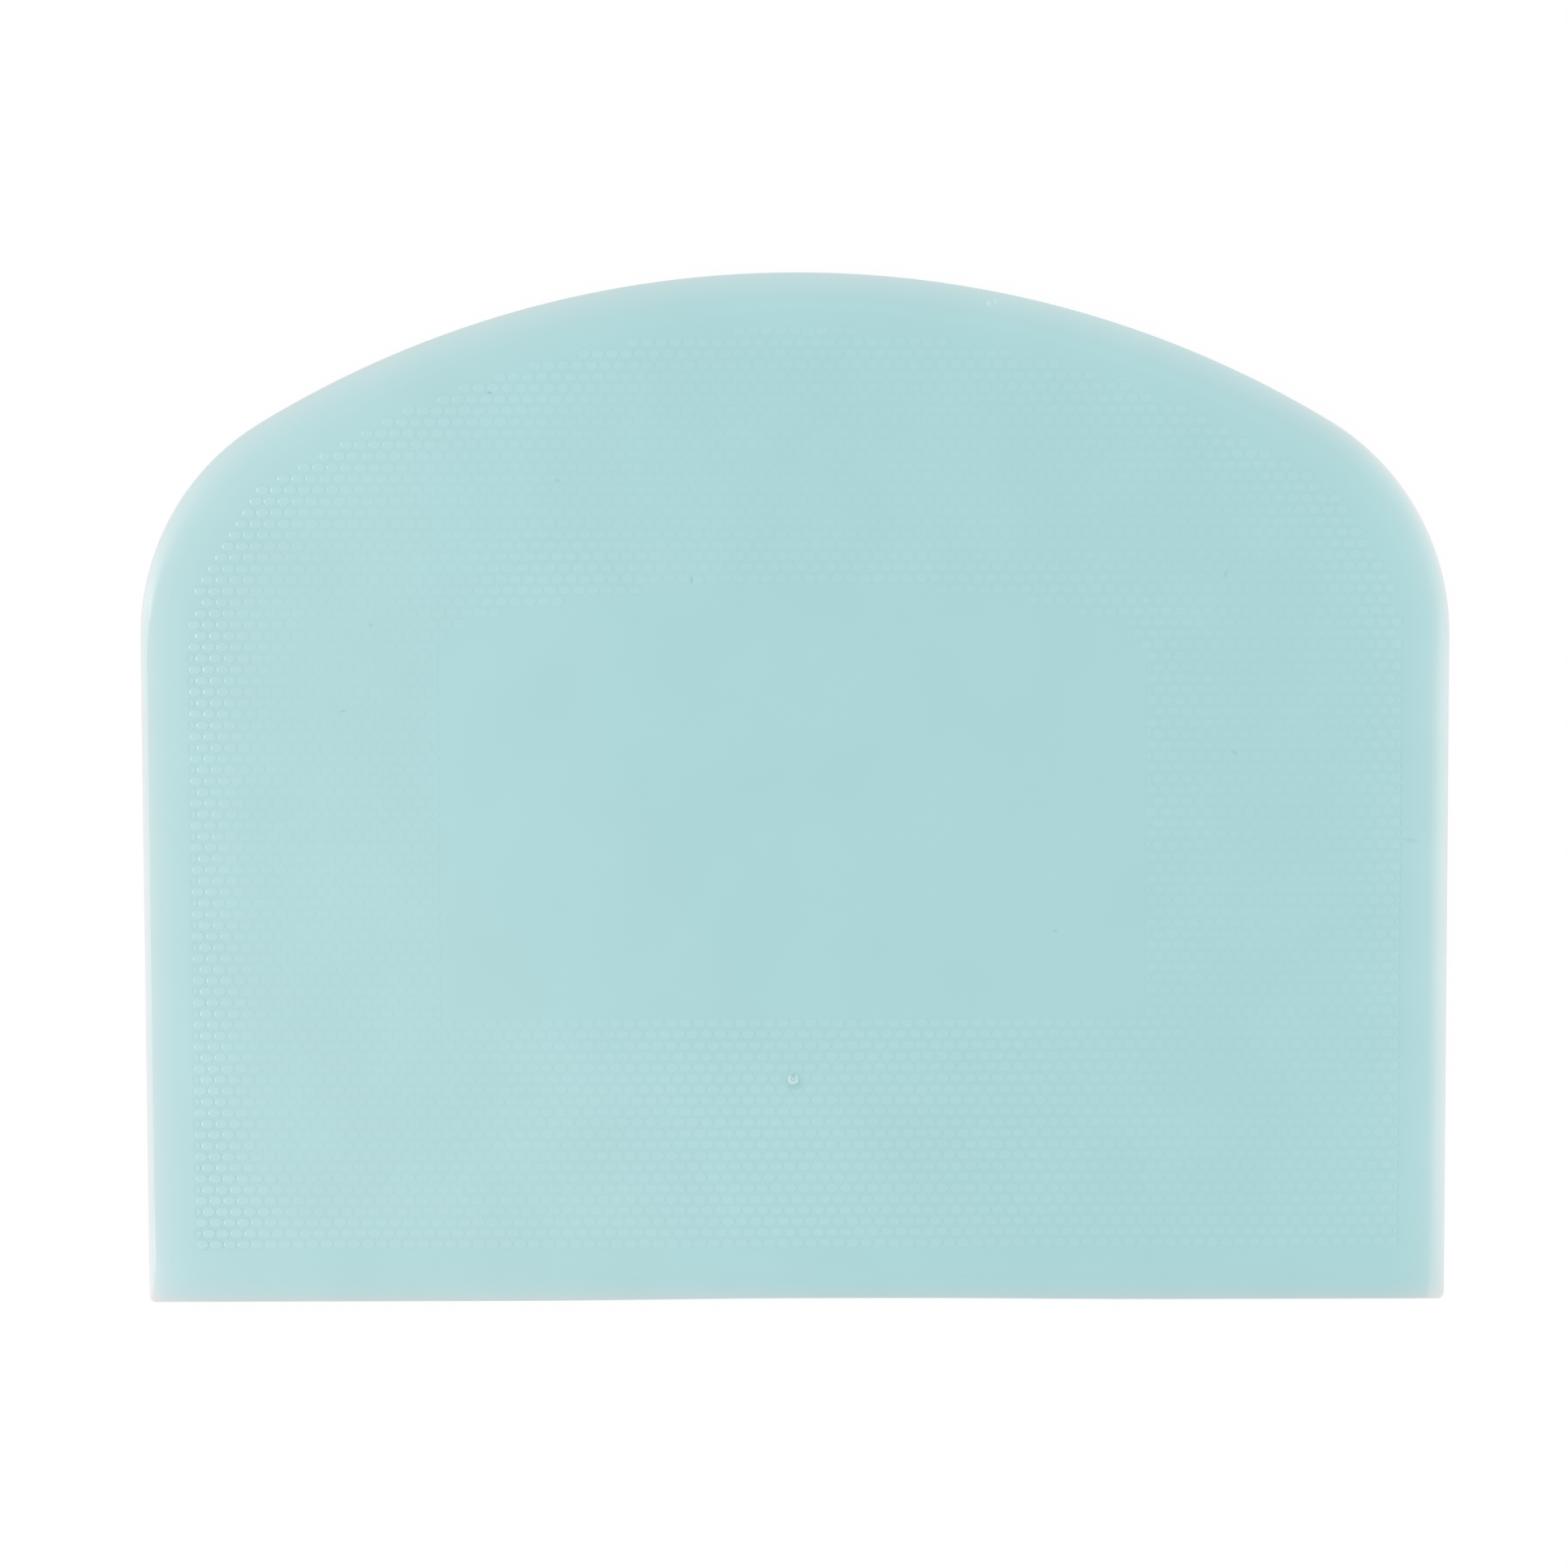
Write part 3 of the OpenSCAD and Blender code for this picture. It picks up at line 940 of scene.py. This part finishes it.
# Place across, height above the base, two half sizes, turn in degrees, and strength
LINT_SPECKS_AND_GATE_SHADE_MM = [
    (-27.89, 84.34, 0.30, 0.17, 0, 0.55),
    (-21.72, 76.30, 0.26, 0.26, 0, 0.28),
    (-38.96, 63.11, 0.28, 0.34, 0, 0.24),
    (-41.55, 55.20, 0.42, 0.20, 12, 0.30),
    (-9.47, 67.20, 0.16, 0.54, 0, 0.36),
    (39.58, 67.55, 0.20, 0.50, -12, 0.26),
    (40.42, 51.15, 0.50, 0.24, -35, 0.24),
    (56.77, 42.97, 1.05, 0.26, -13, 0.18),
    (23.98, 34.70, 0.38, 0.20, 0, 0.26),
    # Painted shade round the gate mark, laid in the same grey as the lint
    (-0.12, 20.66, 1.10, 1.10, 0, 0.34),
]
NICKS_MM = [
    (17.79, 92.38, 0.27, 0.42, 0, 0.42),
    (18.41, 92.59, 0.30, 0.45, 0, 0.34),
]


def start_material(name):
    """A new material with its shader, and its place on the piece in Object coordinates."""
    material = bpy.data.materials.new(name)
    material.use_nodes = True
    tree = material.node_tree
    place = tree.nodes.new("ShaderNodeTexCoord").outputs["Object"]
    return material, tree, tree.nodes["Principled BSDF"].inputs, place


def fall_off(tree, gap, depth):
    """A share that is 1 at the rim and falls away over the depth in millimetres."""
    return calculate(tree, "EXPONENT", calculate(tree, "DIVIDE", gap, -depth))


def add_speck(tree, place, colour, speck, speck_colour):
    """Lays lint, a nick or painted shade on the colour: x, height above base, half sizes, turn, strength.
    """
    x, height, half_length, half_width, turn, strength = speck
    mask = place_group(
        tree, speck_group, Place=place, Centre=(x * MM, BASE_Y + height * MM, FACE_Z),
        Half_size=(half_length * MM, half_width * MM, SPECK_HALF_DEPTH), Turn=math.radians(turn))["Mask"]
    return blend_colours(tree, calculate(tree, "MULTIPLY", mask, strength), colour, speck_colour)


def add_grain_bump(tree, shader, height, strength, depth):
    """Feeds a height to the shader's normal through a Bump node."""
    bump = tree.nodes.new("ShaderNodeBump")
    bump.inputs["Strength"].default_value = strength
    bump.inputs["Distance"].default_value = depth
    fill(tree, bump.inputs["Height"], height)
    fill(tree, shader["Normal"], bump.outputs["Normal"])


silicone, tree, shader, place = start_material("aqua_silicone_satin")
rim = place_group(tree, rim_group, Place=place)
axes = axes_of(tree, place)
from_middle = calculate(tree, "ABSOLUTE", calculate(tree, "SUBTRACT", axes["Z"], MID_Z))
# Painted light: the colour grows lighter to the left, and more at the lower left corner
low = calculate(tree, "MINIMUM", calculate(tree, "SUBTRACT", axes["Y"], LEFT_LIGHT_BEND_Y), 0)
left_light_slant = calculate(tree, "MULTIPLY_ADD", low, LEFT_LIGHT_SLANT, axes["X"])

# The painted glow is half as strong on the arch, and the painted light on the pale bevel is half as
# wide and strong in the band
painted_glow_share = calculate(tree, "MULTIPLY_ADD", rim["Side share"], 0.5, 0.5)
bevel_share = calculate(tree, "MULTIPLY_ADD", rim["Band share"], -0.5, rim["Bevel share"])
bevel_gap = calculate(tree, "MULTIPLY", rim["Crown gap"], calculate(tree, "ADD", rim["Band share"], 1.0))
glow = fall_off(tree, rim["Crown gap"], GLOW_DEPTH_MM)
bevel = fall_off(tree, bevel_gap, SIDE_DEPTH_MM)
band = fade(tree, rim["Crown gap"], *BAND_EDGE_MM)
lean = fall_off(tree, rim["Crown gap"], LEAN_DEPTH_MM)

shares = [
    # Painted light to the left and at the lower left corner
    (fade(tree, left_light_slant, *PAINTED_LEFT_LIGHT_FADE), PAINTED_LEFT_LIGHT_GAIN),
    (fade(tree, left_light_slant, *PAINTED_CORNER_LIGHT_FADE), PAINTED_CORNER_LIGHT_GAIN),
    # Painted light that comes through the thin arch
    (fall_off(tree, rim["Crown gap"], ARCH_DEPTH_MM), PAINTED_ARCH_LIGHT_GAIN),
    # Painted glow that spreads in from the rim
    (calculate(tree, "MULTIPLY", glow, painted_glow_share), PAINTED_GLOW_GAIN),
    # Painted highlight that turns the side bevels nearly white
    (calculate(tree, "MULTIPLY", bevel, bevel_share), PAINTED_SIDE_LIGHT_GAIN),
    # Painted light on the wider pale band down the right side
    (calculate(tree, "MULTIPLY", band, rim["Band share"]), PAINTED_BAND_LIGHT_GAIN),
    # Painted light that makes the rim paler on the right and darker on the left
    (calculate(tree, "MULTIPLY", lean, rim["Lean"]), PAINTED_LEAN_LIGHT_GAIN),
    # Painted light that comes through the thin base
    (fall_off(tree, rim["Base gap"], BASE_DEPTH_MM), PAINTED_BASE_LIGHT_GAIN),
    # Painted shade just above the base's pale edge
    (fall_off(tree, rim["Base gap"], SHADE_DEPTH_MM), PAINTED_BASE_SHADE),
    # Painted sheen on the tops of the crisp beads
    (fade(tree, from_middle, *BEAD_TOP_SHEEN_FADE), PAINTED_BEAD_TOP_SHEEN),
]
colour = BODY_AQUA
for share, gain in shares:
    colour = vector_step(tree, "MULTIPLY_ADD", share, gain, colour)["Vector"]
for speck in LINT_SPECKS_AND_GATE_SHADE_MM:
    colour = add_speck(tree, place, colour, speck, LINT_AND_SHADE_GREY)
for nick in NICKS_MM:
    colour = add_speck(tree, place, colour, nick, NICK_PALE)
grain = place_group(tree, grain_group, Place=place, Grain_size=0.25 * MM, Drift_size=9 * MM)
drift = fade(tree, grain["Drift"], *DRIFT_RANGE, *SKIN_DRIFT)
fill(tree, shader["Base Color"], vector_step(tree, "MULTIPLY", colour, drift)["Vector"])
bare_skin = fade(tree, grain["Height"], *GRAIN_RANGE, *SKIN_ROUGHNESS)
on_bead = fade(tree, from_middle, *BEAD_FADE)
fill(tree, shader["Roughness"], calculate(tree, "MULTIPLY_ADD", on_bead, -BEAD_POLISH, bare_skin))
shader["IOR"].default_value = SILICONE_IOR
add_grain_bump(tree, shader, grain["Height"], strength=0.15, depth=0.02 * MM)
for piece in (blade, front_beads, back_beads):
    piece.data.materials.clear()
    piece.data.materials.append(silicone)
print("Silicone:", len(tree.nodes), "nodes")

# %% [markdown]
# ## Torn silicone
# Where the sprue was pulled off, the surface is rough and scatters more light, so the mark's crest is
# paler than the face round it. Its pit holds a little warm dust, so the colour changes with the height
# above the face.

# %% Build the torn silicone
DUSTY_PIT = (0.60, 0.72, 0.73, 1)
PALE_CREST = (0.52, 0.75, 0.765, 1)
CREST_Z = 2.47 * MM
TORN_ROUGHNESS = (0.50, 0.70)
TORN_DRIFT = (0.95, 1.05)

torn, tree, shader, place = start_material("aqua_silicone_torn")
grain = place_group(tree, grain_group, Place=place, Grain_size=0.12 * MM, Drift_size=0.5 * MM)
above_face = fade(tree, axes_of(tree, place)["Z"], FACE_Z, CREST_Z)
colour = blend_colours(tree, above_face, DUSTY_PIT, PALE_CREST)
drift = fade(tree, grain["Drift"], *DRIFT_RANGE, *TORN_DRIFT)
fill(tree, shader["Base Color"], vector_step(tree, "MULTIPLY", colour, drift)["Vector"])
fill(tree, shader["Roughness"], fade(tree, grain["Height"], *GRAIN_RANGE, *TORN_ROUGHNESS))
shader["IOR"].default_value = SILICONE_IOR
add_grain_bump(tree, shader, grain["Height"], strength=0.5, depth=0.03 * MM)
gate_mark.data.materials.clear()
gate_mark.data.materials.append(torn)

# %% [markdown]
# ## Natural nylon
# The core can't be seen from outside, but it is a real piece of the model and is taken apart from the
# blade in other uses. It is plain moulded nylon in its own creamy white, a little rougher and grainier
# than the silicone. Its CAD shape is right, so the node stays and only its material is changed.

# %% Build the nylon and dress the CAD core
NYLON_DARKER = (0.72, 0.71, 0.64, 1)
NYLON_LIGHTER = (0.77, 0.76, 0.70, 1)
NYLON_ROUGHNESS = (0.48, 0.60)
NYLON_IOR = 1.53

nylon, tree, shader, place = start_material("natural_nylon_moulded")
grain = place_group(tree, grain_group, Place=place, Grain_size=0.4 * MM, Drift_size=12 * MM)
drift = fade(tree, grain["Drift"], *DRIFT_RANGE)
fill(tree, shader["Base Color"], blend_colours(tree, drift, NYLON_DARKER, NYLON_LIGHTER))
fill(tree, shader["Roughness"], fade(tree, grain["Height"], *GRAIN_RANGE, *NYLON_ROUGHNESS))
shader["IOR"].default_value = NYLON_IOR
add_grain_bump(tree, shader, grain["Height"], strength=0.25, depth=0.02 * MM)
core = frame["nodes"]["core_plate"]
for material_slot in core.material_slots:
    material_slot.material = nylon
print("Core dressed in", core.material_slots[0].material.name)

# %% [markdown]
# ## The white table
# The photograph's table is pure white, with hardly a shadow. A white diffuse floor under light that keeps
# the silicone's colour right would come out grey, so what the camera and reflections see of it is
# mostly a white glow, and a small diffuse share keeps a soft trace of the shadow. The light is
# that of a white room, which comes from all sides. Two low softboxes, a stronger one on the left, graze
# the face so that the beads show, and a lamp above would wash them out. A third box on the left is
# only seen in reflections: it glints in the left flanks of the crisp beads, and adds no diffuse light.

# %% Lay the floor and light the room
FLOOR_GLOW_SHARE = 0.93
FLOOR_GLOW = 1.01
FLOOR_WHITE = (0.90, 0.90, 0.90, 1)
FLOOR_ROUGHNESS = 0.7
FLOOR_SIZE = 6
FLOOR_Z = -0.02 * MM
ROOM_LIGHT = 0.95

let_go()
bpy.ops.mesh.primitive_plane_add(size=FLOOR_SIZE, location=(0, 0, FLOOR_Z))
floor = bpy.context.object
floor.name = "white_table"
table_white, tree, shader, _ = start_material("table_white")
shader["Base Color"].default_value = FLOOR_WHITE
shader["Roughness"].default_value = FLOOR_ROUGHNESS
ray = tree.nodes.new("ShaderNodeLightPath").outputs
seen = calculate(tree, "MAXIMUM", calculate(
    tree, "MAXIMUM", ray["Is Camera Ray"], ray["Is Glossy Ray"]), ray["Is Transmission Ray"])
glow = tree.nodes.new("ShaderNodeEmission")
glow.inputs["Strength"].default_value = FLOOR_GLOW
mix = tree.nodes.new("ShaderNodeMixShader")
fill(tree, mix.inputs[0], calculate(tree, "MULTIPLY", seen, FLOOR_GLOW_SHARE))
tree.links.new(tree.nodes["Principled BSDF"].outputs[0], mix.inputs[1])
tree.links.new(glow.outputs[0], mix.inputs[2])
tree.links.new(mix.outputs[0], tree.nodes["Material Output"].inputs["Surface"])
floor.data.materials.append(table_white)
floor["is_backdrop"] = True

room = bpy.data.worlds.new("white_room")
bpy.context.scene.world = room
room.use_nodes = True
background = room.node_tree.nodes["Background"].inputs
background["Color"].default_value = (1, 1, 1, 1)
background["Strength"].default_value = ROOM_LIGHT


def softbox(name, place, size, level):
    """A square lamp that looks at the scraper and lights a white face turned to it at that level."""
    towards = -Vector(place)
    turn = towards.to_track_quat("-Z", "Y").to_euler()
    bpy.ops.object.light_add(type="AREA", location=place, rotation=turn)
    lamp = bpy.context.object
    lamp.name = name
    lamp.data.size = size
    lamp.data.energy = level * 4 * math.pi * towards.length ** 2
    lamp.visible_camera = False
    return lamp


softbox("low_left", place=(-0.70, -0.03, 0.18), size=0.25, level=0.10)
softbox("low_right", place=(0.70, -0.03, 0.18), size=0.25, level=0.05)
glint_box = softbox("glint_left", place=(-0.67, -0.03, 0.19), size=0.28, level=0.30)
glint_box.visible_diffuse = False
bpy.context.scene.view_settings.view_transform = "Standard"
print("Room light", ROOM_LIGHT, "and three softboxes")

# %% [markdown]
# ## Hand over to the frame
# Every new piece rides on the one rigid body, and the silicone pieces together stand for the CAD node
# silicone_blade. The size of the finished model is printed beside that of the CAD model. The looks
# may not make the object any bigger.

# %% Ride, replace and finish
for piece in (blade, front_beads, back_beads, gate_mark):
    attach(piece, "root")
    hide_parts("silicone_blade")

low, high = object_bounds()
print("Visual box in mm:", [round(v / MM, 3) for v in (*low, *high)])
